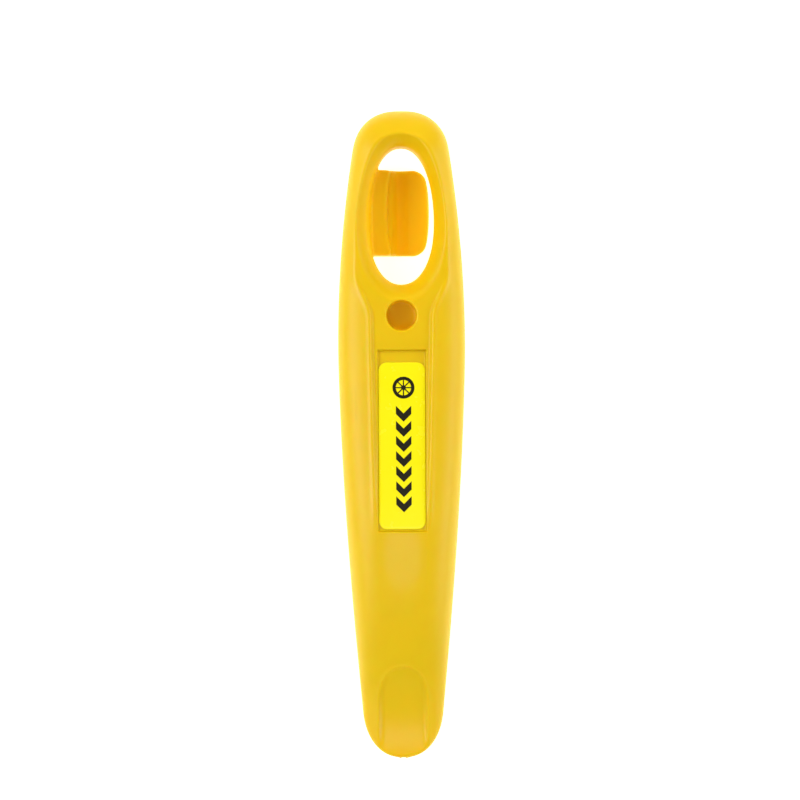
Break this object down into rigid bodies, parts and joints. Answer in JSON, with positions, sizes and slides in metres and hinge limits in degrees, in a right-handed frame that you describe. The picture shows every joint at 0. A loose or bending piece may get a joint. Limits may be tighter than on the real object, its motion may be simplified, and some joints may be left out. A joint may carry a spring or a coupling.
{
  "type": "tyre lever",
  "caption": "Moulded bicycle tyre lever with a scooped spoon tip, a window with a spoke hook, a nesting socket and peg, and a sunk label.",
  "frame": {"origin": "centre of the bounding box, on the surface that the lever rests on", "axes": "+Y along the lever towards the window and spoke hook, -Y towards the spoon tip, +Z out of the front face, X across"},
  "size_m": [0.0234, 0.12, 0.0131],
  "materials": {
    "nylon": "satin",
    "label_glue": "matte",
    "label_film": "gloss",
    "label_ink": "satin"
  },
  "bodies": {
    "root": {"lever_body": "nylon", "label_adhesive": "label_glue", "label_film": "label_film", "label_print": "label_ink"}
  },
  "joints": []
}
